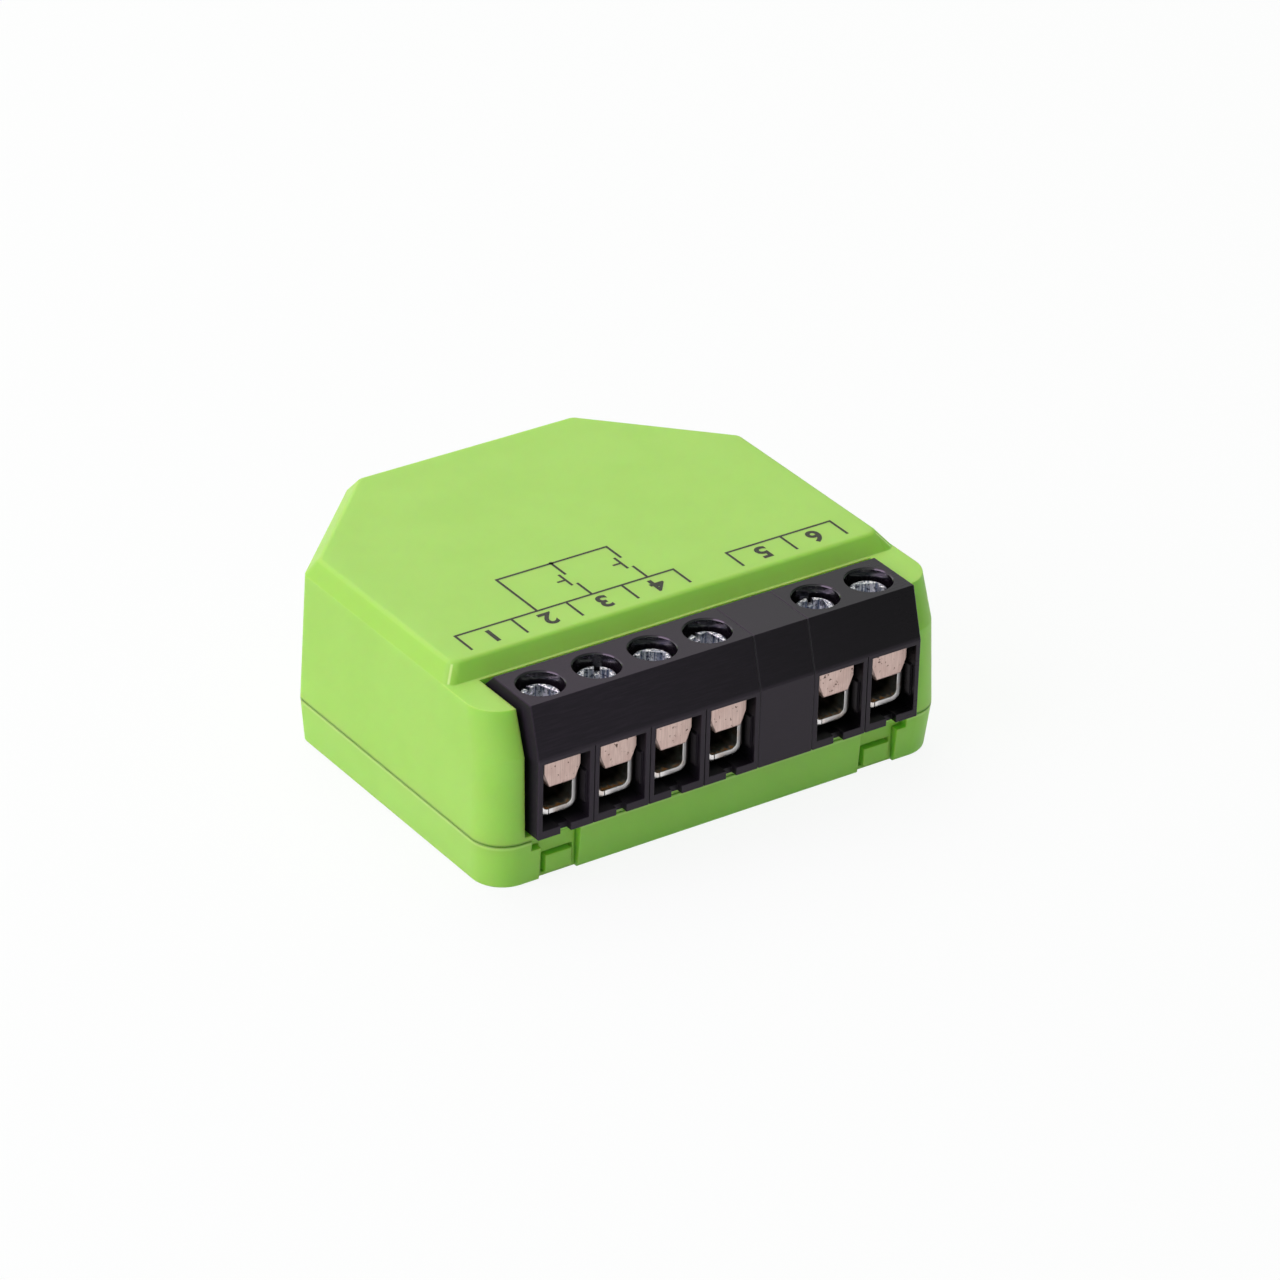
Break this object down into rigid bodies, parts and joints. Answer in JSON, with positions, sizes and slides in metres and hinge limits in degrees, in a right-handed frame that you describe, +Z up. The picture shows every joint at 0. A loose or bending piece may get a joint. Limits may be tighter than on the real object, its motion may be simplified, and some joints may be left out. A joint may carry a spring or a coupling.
{
  "type": "dimmer module",
  "caption": "Flush-mount wall-box dimmer module with rising-cage screw terminals, in a snap-together plastic case with two angled rear corners.",
  "frame": {"origin": "middle of the overall plan, on the underside", "axes": "+X along the row of terminals, -Y out of the wire openings, +Z up out of the screw holes"},
  "size_m": [0.042, 0.0386, 0.016],
  "materials": {
    "housing_plastic": "satin moulded, light spark texture",
    "terminal_plastic": "satin moulded",
    "zinc_plate": "bright zinc plate",
    "cage_plate": "bright nickel plate on folded steel strip",
    "contact_plate": "satin tin-nickel plate on copper alloy",
    "board_laminate": "solder resist over glass laminate",
    "ferrite": "sintered, matt",
    "bobbin_plastic": "moulded phenolic",
    "winding_tape": "polyester tape over enamelled wire",
    "can_aluminium": "drawn, satin",
    "disc_coating": "dipped epoxy",
    "resistor_coating": "flameproof lacquer",
    "chip_plastic": "moulded epoxy",
    "optocoupler_plastic": "moulded epoxy",
    "shield_plate": "tin plate",
    "chip_ceramic": "fired ceramic, tinned ends",
    "header_plastic": "moulded",
    "pin_plate": "gold flash",
    "light_plastic": "white moulded, clear lens",
    "guide_plastic": "clear acrylic",
    "button_plastic": "satin moulded"
  },
  "bodies": {
    "root": {"top_housing": "housing_plastic", "bottom_cover": "housing_plastic", "terminal_housing_4way": "terminal_plastic", "terminal_spacer": "terminal_plastic", "terminal_housing_2way": "terminal_plastic", "contact_strip_1": "contact_plate", "contact_strip_2": "contact_plate", "contact_strip_3": "contact_plate", "contact_strip_4": "contact_plate", "contact_strip_5": "contact_plate", "contact_strip_6": "contact_plate", "main_board": "board_laminate", "radio_board": "board_laminate", "transformer_core": "ferrite", "transformer_bobbin": "bobbin_plastic", "transformer_winding": "winding_tape", "input_capacitor_1": "can_aluminium", "input_capacitor_2": "can_aluminium", "output_capacitor": "can_aluminium", "bus_capacitor": "can_aluminium", "varistor": "disc_coating", "fusible_resistor": "resistor_coating", "filter_inductor": "ferrite", "bridge_rectifier": "chip_plastic", "bus_bridge": "chip_plastic", "power_controller": "chip_plastic", "bus_transistor": "chip_plastic", "optocoupler_receive": "optocoupler_plastic", "optocoupler_send": "optocoupler_plastic", "chip_resistors": "chip_ceramic", "chip_capacitors": "chip_ceramic", "shield_can": "shield_plate", "processor_chip": "chip_plastic", "chip_antenna": "chip_ceramic", "link_pins": "pin_plate", "service_header": "header_plastic", "status_light": "light_plastic", "light_guide": "guide_plastic", "switch_body": "header_plastic"},
    "button": {"control_button": "button_plastic", "switch_plunger": "header_plastic"},
    "screw_1": {"clamp_screw_1": "zinc_plate"},
    "cage_1": {"clamp_cage_1": "cage_plate"},
    "screw_2": {"clamp_screw_2": "zinc_plate"},
    "cage_2": {"clamp_cage_2": "cage_plate"},
    "screw_3": {"clamp_screw_3": "zinc_plate"},
    "cage_3": {"clamp_cage_3": "cage_plate"},
    "screw_4": {"clamp_screw_4": "zinc_plate"},
    "cage_4": {"clamp_cage_4": "cage_plate"},
    "screw_5": {"clamp_screw_5": "zinc_plate"},
    "cage_5": {"clamp_cage_5": "cage_plate"},
    "screw_6": {"clamp_screw_6": "zinc_plate"},
    "cage_6": {"clamp_cage_6": "cage_plate"}
  },
  "joints": [
    {"name": "cage_lift_1", "type": "slide", "parent": "root", "child": "cage_1", "axis": [0, 0, 1], "range_m": [-0.0002, 0.00205]},
    {"name": "cage_lift_2", "type": "slide", "parent": "root", "child": "cage_2", "axis": [0, 0, 1], "range_m": [-0.0002, 0.00205]},
    {"name": "cage_lift_3", "type": "slide", "parent": "root", "child": "cage_3", "axis": [0, 0, 1], "range_m": [-0.0002, 0.00205]},
    {"name": "cage_lift_4", "type": "slide", "parent": "root", "child": "cage_4", "axis": [0, 0, 1], "range_m": [-0.0002, 0.00205]},
    {"name": "cage_lift_5", "type": "slide", "parent": "root", "child": "cage_5", "axis": [0, 0, 1], "range_m": [-0.0002, 0.00205]},
    {"name": "cage_lift_6", "type": "slide", "parent": "root", "child": "cage_6", "axis": [0, 0, 1], "range_m": [-0.0002, 0.00205]},
    {"name": "screw_turn_1", "type": "hinge", "parent": "root", "child": "screw_1", "pos_m": [-0.015, -0.01558, 0.01455], "axis": [0, 0, 1], "range_deg": [-1645, 165]},
    {"name": "screw_turn_2", "type": "hinge", "parent": "root", "child": "screw_2", "pos_m": [-0.01, -0.01558, 0.01455], "axis": [0, 0, 1], "range_deg": [-1645, 165]},
    {"name": "screw_turn_3", "type": "hinge", "parent": "root", "child": "screw_3", "pos_m": [-0.005, -0.01558, 0.01455], "axis": [0, 0, 1], "range_deg": [-1645, 165]},
    {"name": "screw_turn_4", "type": "hinge", "parent": "root", "child": "screw_4", "pos_m": [0, -0.01558, 0.01455], "axis": [0, 0, 1], "range_deg": [-1645, 165]},
    {"name": "screw_turn_5", "type": "hinge", "parent": "root", "child": "screw_5", "pos_m": [0.01, -0.01558, 0.01455], "axis": [0, 0, 1], "range_deg": [-1645, 165]},
    {"name": "screw_turn_6", "type": "hinge", "parent": "root", "child": "screw_6", "pos_m": [0.015, -0.01558, 0.01455], "axis": [0, 0, 1], "range_deg": [-1645, 165]},
    {"name": "button_press", "type": "slide", "parent": "root", "child": "button", "axis": [0, -1, 0], "range_m": [0, 0.0003], "stiffness_N_per_m": 5000}
  ],
  "couplings": [
    {"joint": "screw_turn_1", "follows": "cage_lift_1", "rad_per_m": -13963},
    {"joint": "screw_turn_2", "follows": "cage_lift_2", "rad_per_m": -13963},
    {"joint": "screw_turn_3", "follows": "cage_lift_3", "rad_per_m": -13963},
    {"joint": "screw_turn_4", "follows": "cage_lift_4", "rad_per_m": -13963},
    {"joint": "screw_turn_5", "follows": "cage_lift_5", "rad_per_m": -13963},
    {"joint": "screw_turn_6", "follows": "cage_lift_6", "rad_per_m": -13963}
  ]
}
